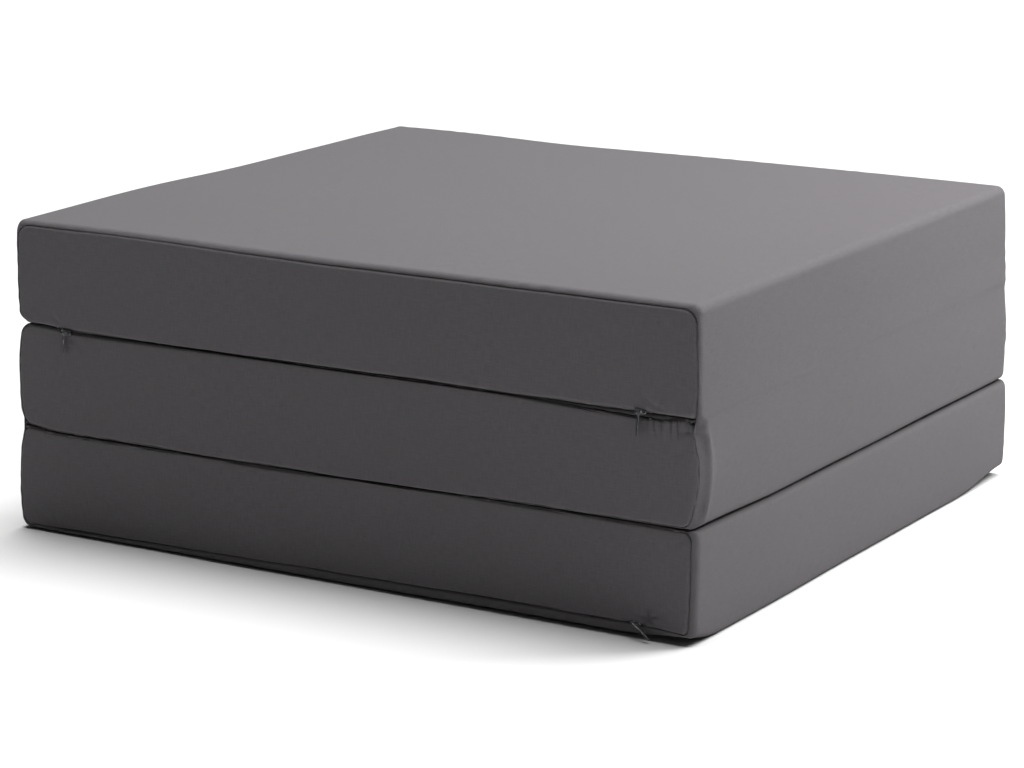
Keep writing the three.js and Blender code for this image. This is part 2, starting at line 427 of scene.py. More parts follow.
BOXES = {name: section_box(name) for name in ("bottom", "middle", "top")}
FOLD_HEIGHTS = {joint["name"]: joint["pos_m"][2] for joint in frame["joints"] if joint["name"].startswith("fold")}
LEFT = min(BOXES["bottom"][0][0], BOXES["top"][0][0])


def from_left(x):
    """Millimetres from the stack's left end."""
    return (x - LEFT) / MM


def corner_arc(outline, corner, turn):
    """Points on a round corner: its centre plus its radius towards the angle 180 + 90 (corner + turn) degrees."""
    x0, z0, x1, z1 = outline["box"]
    radius = outline["radii"][corner]
    x = x0 + radius if corner in (0, 3) else x1 - radius
    z = z0 + radius if corner in (0, 1) else z1 - radius
    angle = np.pi * (1 + 0.5 * (corner + np.asarray(turn, float)))
    return np.stack([x + radius * np.cos(angle), z + radius * np.sin(angle)], axis=-1)


def end_weighted(share):
    """Shares from 0 to 1 that lie closer together near both ends: t - 0.6 sin(2 pi t) / (2 pi)."""
    return share - 0.6 * np.sin(2 * np.pi * share) / (2 * np.pi)


def straight_side(outline, side):
    """Points along a side between its two corners, each moved outwards by the outline's swell there."""
    start = corner_arc(outline, side, 1.0)
    stop = corner_arc(outline, (side + 1) % 4, 0.0)
    count = LONG_STEPS if side in (0, 2) else SHORT_STEPS
    share = end_weighted(np.linspace(0, 1, count + 2))[1:-1, None]
    points = start + (stop - start) * share
    return points + outline["swell"](side, points, share[:, 0])[:, None] * np.array(OUTWARD[side])


def route(outline, first, last):
    """The outline anticlockwise from the middle of one corner to the middle of another."""
    turn = np.linspace(0, 1, CORNER_STEPS)
    half = CORNER_STEPS // 2
    parts = [corner_arc(outline, first, turn[half:])]
    corner = first
    while corner != last:
        parts.append(straight_side(outline, corner))
        corner = (corner + 1) % 4
        parts.append(corner_arc(outline, corner, turn if corner != last else turn[: half + 1]))
    points = np.concatenate(parts)
    return points if outline["upper"] else drawn_in(points)


# %% [markdown]
# ## How the stack has settled
# Three soft blocks never lie exactly on top of each other. The upper ones have slid in a little at the left, the
# lower ones stand out at the back right, and the joints between them rise and fall. A single smooth field of
# small moves, added to every piece at the end, keeps all the pieces together while it does this.

# %% Settling field
FRONT = BOXES["bottom"][0][1]
BACK = BOXES["bottom"][1][1]
RIGHT = BOXES["bottom"][1][0]


def eased(value, stops, levels):
    """Like straight interpolation between the stops, but with a smoothstep between each two of them."""
    total = np.full(np.shape(value), float(levels[0]))
    for low, high, before, after in zip(stops, stops[1:], levels, levels[1:]):
        total = total + (after - before) * smoothstep(low, high, value)
    return total


def settle(points):
    """The points plus a sideways move that changes from corner to corner and with height, an upward move that is
    set at each joint, and a bulge at the middle section's near corner."""
    height = points[..., 2] / MM
    along = from_left(points[..., 0])
    behind = (points[..., 1] - FRONT) / MM
    right = np.clip(along / 650, 0, 1)
    back = np.clip(behind / 600, 0, 1)
    left_front = eased(height, (20, 85, 135, 180, 200), (-0.8, 0.4, 2.8, 4.6, 5.2))
    right_back = eased(height, (60, 130, 178, 215, 262), (4.6, 3.2, 1.2, -0.8, -1.9))
    right_front = eased(height, (10, 80, 100, 160, 190), (-2.6, -1.6, 0.2, 0.4, 0.0))
    sideways = (1 - right) * (1 - back) * left_front + right * (back * right_back + (1 - back) * right_front)
    bulge = hump(132, 33, height) * np.exp(-np.clip(behind, 0, None) / 60) * smoothstep(600, 648, along)
    near = 1 - smoothstep(0, 150, behind)
    lower_joint = (3.0 * smoothstep(250, 540, along) + 3.2 * (1 - smoothstep(5, 45, along))) * near
    upper_joint = 2.4 * (1 - smoothstep(22, 66, along)) * near
    crest = 2.0 * (1 - smoothstep(20, 200, along)) * hump(130, 110, behind)
    upper_face = 0.8 - 2.3 * smoothstep(110, 330, along) + crest - 2.4 * hump(190, 90, along) * smoothstep(430, 600, behind)
    share = [np.clip(1 - np.abs(height - level) / 89, 0, 1) for level in (88.8, 177.8, 266.6)]
    upward = share[0] * lower_joint + share[1] * upper_joint + share[2] * upper_face
    at_right = smoothstep(585, 650, along)
    corner_lift = 4.0 * (1 - smoothstep(0, 45, behind)) + 8.5 * smoothstep(490, 600, behind)
    front_lift = (1.0 + 1.6 * smoothstep(280, 540, along)) * (1 - smoothstep(0, 30, behind))
    upward = upward + (at_right * corner_lift + front_lift) * (1 - smoothstep(0, 50, height))
    move = np.stack([sideways + 3.4 * bulge, np.zeros_like(upward), upward], axis=-1) * MM
    return points + move


# %% [markdown]
# ## What each section does differently
# The three blocks are the same cut, but they lie differently. A fold makes a sharp corner where two covers are
# sewn together, and the free corners are round. Where two blocks press on each other the seam is squeezed to
# the very edge. The lowest zip sits up on the front face, and the other two hide in the joint between the
# upper blocks. All numbers here are millimetres, and lists of four go under, right, over, left, or corner by
# corner from the lower left.

# %% Section shapes
SHAPES = {
    "bottom": {
        "body": (9, 5, 6, 0.8), "seam": (11, 5, 8, 6), "insets": (3.0, 5.4, 1.5, 3.0), "bow": (0, 0.6, 0, 1.4),
        "rolls": (4.2, 8, 3.0, 5), "cuts": (0, 0, 0, 0), "sunk": (0, 0, 0, 0), "zip_side": 0, "joints": (0, 1),
        "back_insets": (3.5, 3.2, 1.5, 3.2),
    },
    "middle": {
        "body": (0.8, 6, 0.8, 10), "seam": (6, 8, 7, 11), "insets": (1.5, 6.2, 1.2, 3.0), "bow": (0, 0.9, 0, 2.0),
        "rolls": (3.0, 12.5, 5.0, 5), "cuts": (0, 0.85, 0, 0), "sunk": (0, 0, 2, 0), "zip_side": 2, "joints": (1, 1),
        "back_insets": (1.5, 3.0, 1.5, 3.2),
    },
    "top": {
        "body": (10, 0.8, 8, 8), "seam": (11, 3, 12, 13), "insets": (1.1, 2.6, 4.2, 3.0), "bow": (0, 0.9, 0.9, 0.9),
        "rolls": (5.0, 6, 6, 5), "cuts": (0, 0, 0, 0), "sunk": (2.2, 0, 0, 0), "zip_side": 0, "joints": (1, 0),
        "back_insets": (1.5, 3.0, 4.2, 3.2),
    },
}
JOINT_GAP = 0.5 * MM
FOLD_NOTCH = {"depth": 6.0 * MM, "width": 15.0 * MM, "reach": 30.0 * MM}
ZIP_HALF = (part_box("bottom_zip_tape_panel_side")[1][0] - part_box("bottom_zip_tape_panel_side")[0][0]) / 2
SLIT = 0.5 * MM


def bow_fall(name, side, share):
    """How the bow of a side falls to its two ends: as a fourth power, and not at all towards the upper fold."""
    if side == 1 and name != "bottom":
        return (1 - share) ** 4 if name == "middle" else share**4
    return (2 * share - 1) ** 4


def drawn_in(points):
    """The pull of the lower fold on both covers: points near the left end move inwards, by the notch's depth
    times exp(-distance above or below the fold / width)."""
    below = np.abs(points[:, 1] - FOLD_HEIGHTS["fold_lower"])
    near = 1 - smoothstep(0, FOLD_NOTCH["reach"], points[:, 0] - LEFT)
    shift = FOLD_NOTCH["depth"] * np.exp(-below / FOLD_NOTCH["width"]) * near
    return points + np.stack([shift, np.zeros_like(shift)], -1)


def body_outline(name):
    """Where the cover is widest: the section's box, bowed out at the ends."""
    shape = SHAPES[name]
    low, high = BOXES[name]

    def swell(side, points, share):
        return shape["bow"][side] * MM * (1 - bow_fall(name, side, share))

    under, over = (JOINT_GAP * joint for joint in shape["joints"])
    radii = [radius * MM for radius in shape["body"]]
    box = (low[0], low[2] + under, high[0], high[2] - over)
    return {"box": box, "radii": radii, "swell": swell, "upper": name == "top"}


def seam_rise(name, side, x):
    """How far the front seam strays outwards from its straight line, in metres, at a place along the section."""
    along = from_left(x)
    if name == "bottom" and side == 0:
        return -np.interp(along, (0, 50, 170, 290, 598, 640), (1.4, 1.5, 4.0, 6.4, 6.4, 0.2)) * MM
    if name == "middle" and side == 2:
        return -3.0 * smoothstep(480, 612, along) * (1 - smoothstep(616, 640, along)) * MM
    return np.zeros_like(along)


def seam_outline(name, front=True, slit=0.0):
    """The line where a panel is sewn in, on the front or the back face. Along the zip the line moves by the slit:
    outwards for the edge of the strip, and inwards, as a negative slit, for the edge of the panel."""
    shape = SHAPES[name]
    low, high = BOXES[name]
    insets = shape["insets"] if front else shape["back_insets"]
    under, right, over, left = (inset * MM for inset in insets)

    def swell(side, points, share):
        if side in (1, 3):
            bow = shape["bow"][side] * MM * (1 - (2 * share - 1) ** 2)
            return bow * (2.4 if name == "middle" and side == 1 else 0.8)
        wander = (0.3 if shape["joints"] == (0, 1) and side == 0 else 0.15) * MM * waves(points, 90 * MM, 4, 11 + side + 7 * ord(name[0]))
        total = wander * np.clip(np.minimum(share, 1 - share) * 12, 0, 1)
        if front:
            total = total + seam_rise(name, side, points[:, 0])
        if front and side == shape["zip_side"]:
            middle = (low[0] + high[0]) / 2
            total = total + slit * (1 - smoothstep(ZIP_HALF - 5 * MM, ZIP_HALF, np.abs(points[:, 0] - middle)))
        return total

    box = (low[0] + left, low[2] + under, high[0] - right, high[2] - over)
    radii = [radius * MM for radius in shape["seam"]]
    return {"box": box, "radii": radii, "swell": swell, "upper": name == "top"}


# %% [markdown]
# ## The face of a panel
# A front or back face isn't flat: foam fills it out by a millimetre or two in the middle, and it falls back
# towards its edges. One function gives how far the face lies behind its plane at any place, and both the panel
# and the cloth that is sewn to it use it, so they always meet.

# %% Face depth
FACE_CROWN = 1.5 * MM


def face_depth(name, x, z, front=True):
    """The depth behind the front or back plane: minus a crown that is highest in the middle, plus broad waves, and
    on the middle section a roll towards its near corner."""
    low, high = BOXES[name]
    across = (2 * x - low[0] - high[0]) / (high[0] - low[0])
    upward = (2 * z - low[2] - high[2]) / (high[2] - low[2])
    crown = FACE_CROWN * (1 - across**8) * (1 - upward**2) - 0.25 * MM
    points = np.stack([x, z], axis=-1)
    rough = 0.3 * MM * waves(points, 130 * MM, 6, 3 + ord(name[0]) + (0 if front else 50))
    depth = rough * (1 - across**4) - crown
    if front and name == "middle":
        depth = depth + 3.4 * MM * smoothstep(high[0] - 9 * MM, high[0], x) * (1 - upward**2)
    return depth


# %% [markdown]
# ## Seams that pucker
# Sewing pulls the cloth in, so on both sides of a seam it stands in small ripples that die away within a
# centimetre or so, and right at the stitches it dips into a groove. Where a zip ends or a fold is pinched the
# ripples are deeper and fan out from one point.

# %% Ripples and pinches
GROOVE = {"depth": 2.2 * MM, "width": 0.9 * MM}


def groove(distance):
    """The dip at a seam: depth times exp(-(distance / width)^2)."""
    return GROOVE["depth"] * np.exp(-((distance / GROOVE["width"]) ** 2))


def ripples(points, distance, seed):
    """Low ripples beside a seam, 9 to 16 mm long, which fade over 11 mm."""
    height = waves(points, 12 * MM, 5, seed) * np.clip(0.6 + 0.5 * waves(points, 120 * MM, 3, seed + 1), 0.1, 1.4)
    fade = np.exp(-((distance / (11 * MM)) ** 1.3)) * smoothstep(0, 2.5 * MM, distance)
    return 0.18 * MM * height * fade


# section, place along from the stack's left, height, reach, number of folds, depth: all millimetres
PINCHES = (
    ("top", 47, 182, 11, 5, 0.9),
    ("top", 613, 183, 12, 5, 1.2),
    ("middle", 50, 173, 15, 9, 0.8),
    ("middle", 606, 171, 13, 8, 0.7),
    ("bottom", 40, 7, 13, 5, 0.8),
    ("bottom", 611, 14, 11, 5, 2.2),
    ("top", 648, 182, 13, 6, 0.7),
    ("middle", 643, 168, 12, 6, 1.3),
    ("bottom", 643, 83, 12, 7, 1.2),
    ("middle", 648, 94, 11, 6, 0.6),
)


def pinched(name, points):
    """Radial folds around each pinch of a section: a cosine of the angle around it, under a bell of its reach,
    and a dimple at its centre."""
    height = np.zeros(points.shape[:-1])
    for section, along, level, reach, folds, depth in PINCHES:
        if section != name:
            continue
        offset = points - np.array([LEFT + along * MM, FRONT, level * MM])
        distance = np.linalg.norm(offset, axis=-1)
        angle = np.arctan2(offset[..., 2], offset[..., 0] + 0.3 * offset[..., 1])
        fan = np.cos(angle * folds + along) * smoothstep(1.5 * MM, 6 * MM, distance)
        bell = np.exp(-((distance / (reach * MM)) ** 2))
        dimple = 1.1 * np.exp(-((distance / (4.5 * MM)) ** 2))
        height += depth * MM * bell * (0.5 * fan - dimple)
    return height


def upright_tucks(name, points, strength=1.0):
    """Two things on the middle section: the row of short upright tucks under its upper joint at the right end, and
    the crease that runs down behind its near corner, a ridge whose path is half a sine from top to bottom."""
    if name != "middle":
        return np.zeros(points.shape[:-1])
    low, high = BOXES[name]
    along = from_left(points[..., 0])
    behind = (points[..., 1] - FRONT) / MM
    height = points[..., 2] / MM
    row = smoothstep(600, 610, along) * (1 - smoothstep(640, 648, along))
    fall = smoothstep(157, 171, height)
    valley = np.abs(np.cos((along - 604) * np.pi / 6.8 + 0.4 * np.sin(along * 0.37))) ** 7
    tucks = strength * (0.3 - 2.0 * valley) * row * fall * (1 - smoothstep(4, 12, behind))
    share = np.clip((height - 92) / 82, 0, 1)
    path = 8 + 8 * np.sin(np.pi * share) ** 0.7
    side = smoothstep(318, 322, points[..., 0] / MM) * smoothstep(92, 106, height) * (1 - smoothstep(162, 174, height))
    ridge = 1.3 * hump(path, 2.4, behind) - 0.3 * hump(path * 0.5, path * 0.3, behind)
    return (tucks + ridge * side) * MM


# (x along, y behind the front, heading in degrees, length, depth) of the faint creases on the upper face: mm
CREASES = ((150, 250, 97, 190, 0.35), (190, 556, 20, 60, 0.3), (262, 575, -12, 50, 0.3), (420, 120, 60, 90, 0.2))


def upper_creases(name, points):
    """Faint creases on the upper face: a thin valley along a short line, fading at both of its ends."""
    if name != "top":
        return np.zeros(points.shape[:-1])
    along, behind = from_left(points[..., 0]), (points[..., 1] - FRONT) / MM
    upper = smoothstep(262, 266, points[..., 2] / MM)
    total = np.zeros(points.shape[:-1])
    for x, y, heading, length, depth in CREASES:
        turn = math.radians(heading)
        run = (along - x) * math.cos(turn) + (behind - y) * math.sin(turn)
        off = (behind - y) * math.cos(turn) - (along - x) * math.sin(turn)
        total -= depth * MM * hump(0, length / 2, run) * (hump(0, 5, off) - 0.6 * hump(9, 7, off))
    return total * upper


# %% [markdown]
# ## Long strips over the blocks
# One long cloth covers the sleeping side of the whole mattress and another its underside. Each is a grid: its
# columns follow the outlines, and its rows start in the front seam, roll over the front edge as a quarter
# ellipse, cross the block and end in the back seam. At a fold the strip simply runs on to the next block, so
# at the right-hand end of the stack one smooth face covers two blocks.

# %% Strip surfaces
ROLL = np.array([0, 0.05, 0.1, 0.16, 0.24, 0.33, 0.44, 0.56, 0.7, 0.85, 1.0]) * np.pi / 2
TUCK = ((3.2 * MM, 0.5 * MM), (1.4 * MM, 0.3 * MM))
ACROSS = np.concatenate([[0.004, 0.01, 0.018, 0.027], np.linspace(0.038, 0.965, 40), [0.98, 0.99, 0.996]])


def by_side(first, last, values):
    """A length for each point of a route: that of its side, and a smooth change round each corner."""
    half = CORNER_STEPS // 2
    turn = smoothstep(0, 1, np.linspace(0, 1, CORNER_STEPS))
    corner = first
    parts = [(values[corner - 1] + (values[corner] - values[corner - 1]) * turn)[half:]]
    while corner != last:
        parts.append(np.full(LONG_STEPS if corner in (0, 2) else SHORT_STEPS, values[corner], float))
        corner = (corner + 1) % 4
        turned = values[corner - 1] + (values[corner] - values[corner - 1]) * turn
        parts.append(turned if corner != last else turned[: half + 1])
    return np.concatenate(parts) * MM


def rolled_edge(name, body, seam, roll, cut, sunk, front):
    """Rows from the tuck inside the seam to the block's body. Between them a row at angle a lies at
    seam + (body - seam) sin a in the face, and at the seam's depth plus the roll's depth times 1 - cos a. Where
    the corner is cut, sin a turns by that share into 1 - cos a, and the quarter ellipse into a straight slope.
    Sunk is a further depth of the whole edge, where it is drawn back into a joint."""
    plane = BOXES[name][0][1] if front else BOXES[name][1][1]
    inward = 1 if front else -1
    depth = face_depth(name, seam[:, 0], seam[:, 1], front) + sunk
    reach = np.linalg.norm(body - seam, axis=1)
    direction = (body - seam) / np.maximum(reach, 1e-9)[:, None]
    rows = []
    for tuck, side in TUCK:
        flat = seam + direction * side
        rows.append(np.column_stack([flat[:, 0], plane + inward * (depth + groove(0.0) + tuck), flat[:, 1]]))
    for angle in ROLL:
        flat = seam + (body - seam) * (math.sin(angle) * (1 - cut) + (1 - math.cos(angle)) * cut)[:, None]
        behind = depth + (roll - depth) * (1 - math.cos(angle)) + groove(reach * math.sin(angle))
        rows.append(np.column_stack([flat[:, 0], plane + inward * behind, flat[:, 1]]))
    return np.stack(rows, axis=1)


def relief(name, grid):
    """How far a strip stands out from its formula: broad waves, ripples beside the seams, and pinches."""
    seam_distance = np.minimum(grid[..., 1] - FRONT, BACK - grid[..., 1]).clip(0) + 1.5 * MM
    broad = 0.4 * MM * waves(grid, 210 * MM, 7, 21) * smoothstep(5 * MM, 90 * MM, seam_distance)
    total = broad + ripples(grid, seam_distance, 31) + 0.4 * pinched(name, grid) + upright_tucks(name, grid, 0.15)
    total = total + upper_creases(name, grid)
    total[:, : len(TUCK)] = 0
    total[:, -len(TUCK):] = 0
    return total


def section_strip(name, first, last):
    """The grid of one section's share of a strip: its columns run around the block, its rows front to back."""
    body = route(body_outline(name), first, last)
    roll = by_side(first, last, SHAPES[name]["rolls"])
    cut = by_side(first, last, SHAPES[name]["cuts"]) / MM
    sunk = by_side(first, last, SHAPES[name]["sunk"])
    edges = [
        rolled_edge(name, body, route(seam_outline(name, front, SLIT), first, last), roll, cut * front, sunk * front, front)
        for front in (True, False)
    ]
    front_rows, back_rows = edges[0], edges[1][:, ::-1]
    start, stop = front_rows[:, -1], back_rows[:, 0]
    inside = start[:, None] + (stop - start)[:, None] * ACROSS[None, :, None]
    grid = np.concatenate([front_rows, inside, back_rows], axis=1)
    return grid - grid_normals(grid) * relief(name, grid)[..., None]


FOLD_REACH = 3 * MM
FOLD_SKIP = CORNER_STEPS // 2 + 1


def over_a_fold(lower, upper):
    """Two sections' strips joined end to end, without the sharp corner at the fold between them."""
    return np.concatenate([lower[:-FOLD_SKIP], upper[FOLD_SKIP:]], axis=0)


def make_strip(name, grid, stands_for):
    """A strip on one or two sections, settled and kept above the floor, with the model's parts that it stands for
    hidden.
    """
    grid = settle(grid)
    grid[..., 2] = np.maximum(grid[..., 2], 0)
    made = cloth_piece(name, grid, CLOTH, outward=-1)
    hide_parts(*stands_for)
    return made


def bend_at(made, joint):
    """Bakes the strip's placement into its points. It reads the fold's place, but nothing here makes the strip bend at
    it.
    """
    x, y, z = next(j["pos_m"] for j in frame["joints"] if j["name"] == joint)
    z - FOLD_REACH
    z + FOLD_REACH
    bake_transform(made)


# %% Sew the strips
upper_sleeping = make_strip(
    "upper_sleeping_strip", over_a_fold(section_strip("middle", 0, 2), section_strip("top", 1, 3)),
    ("middle_sleeping_cloth", "top_sleeping_cloth"),
)
bend_at(upper_sleeping, "fold_upper")
lower_under = make_strip(
    "lower_under_strip", over_a_fold(section_strip("bottom", 3, 1)[::-1], section_strip("middle", 2, 0)[::-1])[::-1],
    ("middle_under_cloth", "bottom_under_cloth"),
)
bend_at(lower_under, "fold_lower")
for section, corners, label in (("bottom", (1, 3), "sleeping"), ("top", (3, 1), "under")):
    strip = make_strip(
        f"{section}_{label}_strip", section_strip(section, *corners), (f"{section}_{label}_cloth",),
    )
    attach(strip, f"{section}_section")

# %% [markdown]
# ## Front and back panels
# Each panel is a four-sided patch stretched inside its seam outline: every point is a blend of the four border
# curves, so the grid follows the round corners. The depth comes from the face function, and the distance to the
# seam gives the groove and the ripples.

# %% Panels


def graded(count, fine, edge_share):
    """Shares from 0 to 1 that start and end with small steps, which grow by a third each until they are even."""
    edge = np.cumsum(fine * 1.35 ** np.arange(9))
    edge = edge[edge < edge_share]
    inner = edge[-1] + (1 - 2 * edge[-1]) * end_weighted(np.linspace(0, 1, count))
    return np.concatenate([[0], edge[:-1], inner, 1 - edge[:-1][::-1], [1]])


def resample(curve, share):
    """Points of a polyline at shares of its length."""
    steps = np.linalg.norm(np.diff(curve, axis=0), axis=1)
    place = np.concatenate([[0], np.cumsum(steps)])
    return np.stack([np.interp(share * place[-1], place, curve[:, k]) for k in range(2)], axis=-1)


def patch(outline, u, w):
    """A patch over four border curves: the sum of the two lofts between opposite borders, less the flat patch
    through the four corners."""
    low = resample(route(outline, 0, 1), u)
    right = resample(route(outline, 1, 2), w)
    high = resample(route(outline, 2, 3)[::-1], u)
    left = resample(route(outline, 3, 0)[::-1], w)
    u, w = u[:, None, None], w[None, :, None]
    lofts = (1 - w) * low[:, None] + w * high[:, None] + (1 - u) * left[None] + u * right[None]
    flat = (1 - u) * (1 - w) * low[0] + u * (1 - w) * low[-1] + (1 - u) * w * high[0] + u * w * high[-1]
    return lofts - flat


def border_distance(points, outline):
    """The distance from each point to the outline, found against all of its points at once."""
    line = np.concatenate([route(outline, a, (a + 1) % 4) for a in range(4)])
    flat = points.reshape(-1, 2)
    nearest = [np.sqrt(((chunk[:, None] - line[None]) ** 2).sum(-1)).min(1) for chunk in np.array_split(flat, 24)]
    return np.concatenate(nearest).reshape(points.shape[:-1])


def hemmed(grid, inward):
    """The grid with a hem: two more rings outside its border, each a step deeper and a little further in."""
    middle = np.array([grid[..., 0].mean(), 0, grid[..., 2].mean()])
    for depth, shrink in ((1.4 * MM, 0.3 * MM), (2.0 * MM, 0.2 * MM)):
        ring = np.pad(grid, ((1, 1), (1, 1), (0, 0)), mode="edge")
        toward = (middle - ring) * (1, 0, 1)
        toward /= np.linalg.norm(toward, axis=-1, keepdims=True)
        border = np.ones(ring.shape[:2], bool)
        border[1:-1, 1:-1] = False
        ring[border] += (toward * shrink + np.array([0, inward * depth, 0]))[border]
        grid = ring
    return grid


def panel_surface(name, front):
    """A panel's grid: the patch at its depth, with ripples and pinches, and a hem behind the seam."""
    outline = seam_outline(name, front, -SLIT)
    flat = patch(outline, graded(250, 0.0006, 0.02), graded(36, 0.0045, 0.12))
    distance = border_distance(flat, outline)
    plane, inward = (BOXES[name][0][1], 1) if front else (BOXES[name][1][1], -1)
    behind = face_depth(name, flat[..., 0], flat[..., 1], front) + groove(distance)
    grid = np.stack([flat[..., 0], plane + inward * behind, flat[..., 1]], axis=-1)
    lift = ripples(grid, distance + 1.5 * MM, 31) * smoothstep(0, 2 * MM, distance)
    if front:
        lift = lift + pinched(name, grid) + upright_tucks(name, grid)
    grid[..., 1] -= inward * lift
    return settle(hemmed(grid, inward))


def make_panel(name, front):
    label = "front" if front else "back"
    made = cloth_piece(f"{name}_{label}_side", panel_surface(name, front), CLOTH, outward=-1 if front else 1)
    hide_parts(f"{name}_{label}_panel")
    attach(made, f"{name}_section")


for section in BOXES:
    make_panel(section, True)
    make_panel(section, False)

# %% [markdown]
# ## Closed skins
# Foam, sliders, pulls, coils and stitches are closed bodies. Each is a row of rings, one after another, whose
# ends are closed to a point, or a row of rings that joins its own start. The faces are turned outwards by
# Blender itself once the skin is closed.

# %% Skins from rings


def turned_outwards(mesh):
    """Recalculates the normals of a closed mesh."""
    skin = bmesh.new()
    skin.from_mesh(mesh)
    bmesh.ops.recalc_face_normals(skin, faces=skin.faces)
    skin.to_mesh(mesh)
    skin.free()


def capped(rings):
    """Points and faces of rings joined by quads, with a fan of triangles from each end ring to its middle."""
    count, size = rings.shape[:2]
    points = np.concatenate([rings.reshape(-1, 3), rings[0].mean(0)[None], rings[-1].mean(0)[None]])
    quads = grid_faces(count, size, wrap_columns=True)
    ring = np.arange(size)
    after = (ring + 1) % size
    start = np.stack([ring, after, np.full(size, count * size)], axis=-1)
    last = (count - 1) * size
    stop = np.stack([after + last, ring + last, np.full(size, count * size + 1)], axis=-1)
    return points, quads.tolist() + start.tolist() + stop.tolist()


def skin_piece(name, points, faces, material):
    made = make_mesh(name, points, faces, material)
    turned_outwards(made.data)
    return made


def many(points, faces, count):
    """The faces of count equal skins whose points follow one another."""
    size = len(points) // count
    return [[number + size * copy for number in face] for copy in range(count) for face in faces]


# %% [markdown]
# ## Foam cores
# Each core is a block of upholstery foam, cut with rounded edges and a little smaller than its cover. Its rings
# are rounded rectangles: they grow as a quarter circle from the underside, run up the sides and shrink again.
# Open-cell foam is off-white with small irregular pores, and each pore's hollow is painted darker as painted shade.

# %% Foam
FOAM_INSET = 3.8 * MM
FOAM_ROUND = 12 * MM


def foam_finish():
    finish = Finish("upholstery_foam", Roughness=0.95)
    place = finish.node("ShaderNodeTexCoord").outputs["Object"]
    pores = finish.signal("ShaderNodeTexVoronoi", "Distance", None, {"Vector": place, "Scale": 900.0})
    clouds = finish.noise(place, 14.0, 3.0)
    # The colour is partly random cloud tone and partly painted shade: it darkens towards each pore's centre, where the
    # bump sinks.
    finish.feed("Base Color", finish.mix(clouds * 0.6 + pores * 0.5, (0.70, 0.64, 0.47, 1), (0.80, 0.76, 0.63, 1)))
    finish.bump(pores + finish.noise(place, 260.0) * 0.5, 0.6 * MM, 0.7)
    return finish.material


FOAM = foam_finish()


def rounded_loop(half_length, half_width, radius, steps=6):
    """A rectangle with round corners about the origin, as an anticlockwise loop of points."""
    angle = np.linspace(0, np.pi / 2, steps)
    corners = []
    for k, (sx, sy) in enumerate(((1, 1), (-1, 1), (-1, -1), (1, -1))):
        centre = np.array([sx * (half_length - radius), sy * (half_width - radius)])
        corners.append(centre + radius * np.stack([np.cos(angle + k * np.pi / 2), np.sin(angle + k * np.pi / 2)], -1))
    return np.concatenate(corners)


def foam_rings(low, high):
    """Rings of a rounded block: at an angle a from -90 to 90 degrees the ring is inset by radius (1 - cos a)."""
    middle, half = (low + high) / 2, (high - low) / 2
    angle = np.linspace(0, np.pi / 2, 7)
    insets = FOAM_ROUND * (1 - np.cos(angle))
    heights = -half[2] + FOAM_ROUND * (1 - np.sin(angle[::-1]))
    shares = [0.15, 0.45, 0.75, 0.93]
    rings = [(share, FOAM_ROUND, -half[2]) for share in shares]
    rings += [(1.0, inset, z) for inset, z in zip(insets[::-1], heights)]
    rings += [(1.0, 0.0, z) for z in np.linspace(-0.5, 0.5, 5) * (half[2] - FOAM_ROUND)]
    rings += [(1.0, inset, -z) for inset, z in zip(insets, heights[::-1])]
    rings += [(share, FOAM_ROUND, half[2]) for share in shares[::-1]]
    made = []
    for share, inset, z in rings:
        loop = rounded_loop(half[0] - inset, half[1] - inset, FOAM_ROUND + 2 * MM) * share
        made.append(np.column_stack([loop, np.full(len(loop), z)]) + middle)
    return np.array(made)


for section, (low, high) in BOXES.items():
    core = skin_piece(f"{section}_foam_block", *capped(settle(foam_rings(low + FOAM_INSET, high - FOAM_INSET))), FOAM)
    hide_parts(f"{section}_foam_core")
    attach(core, f"{section}_section")
print("foam blocks ready")

# %% [markdown]
# ## Zips
# A zip is two woven tapes, each with a nylon coil sewn along its edge. The tapes are sheets behind the cloth: one
# lies behind the panel, and the other turns round the block's edge under the strip. The coils are helices that
# mesh in the slit between the two cloth edges, and a small stop closes each end.

# %% Zip tapes, coils and stops
COIL = {"radius": 0.55 * MM, "wire": 0.24 * MM, "pitch": 1.5 * MM, "apart": 0.4 * MM, "behind": 2.3 * MM}
TAPE_WIDTH = 12 * MM
TAPE_DEPTH = 3.2 * MM


def tape_finish():
    finish = Finish("zip_tape_weave", Roughness=0.85, Specular_IOR_Level=0.1)
    uv = finish.node("ShaderNodeUVMap", {"uv_map": "cloth"}).outputs["UV"]
    split = finish.node("ShaderNodeSeparateXYZ", None, {"Vector": uv})
    rib = (Signal(finish, split.outputs["Y"]) * (math.pi / (0.45 * MM))).sine().size()
    row = (Signal(finish, split.outputs["X"]) * (math.pi / (0.6 * MM))).sine().size()
    # Painted shade of the weave: the colour is lighter where rib and row both stand high and darker in the grooves
    # between them.
    finish.feed("Base Color", finish.mix(rib * row, (0.020, 0.020, 0.022, 1), (0.045, 0.045, 0.049, 1)))
    finish.bump(rib * 0.6 + row * 0.4, 0.2 * MM, 0.8)
    return finish.material


def nylon_finish():
    finish = Finish("coil_nylon", Roughness=0.42, Specular_IOR_Level=0.25)
    place = finish.node("ShaderNodeTexCoord").outputs["Object"]
    wear = finish.noise(place, 180.0, 3.0)
    finish.feed("Base Color", finish.mix(wear, (0.012, 0.012, 0.013, 1), (0.032, 0.032, 0.035, 1)))
    finish.feed("Roughness", 0.34 + wear * 0.2)
    return finish.material


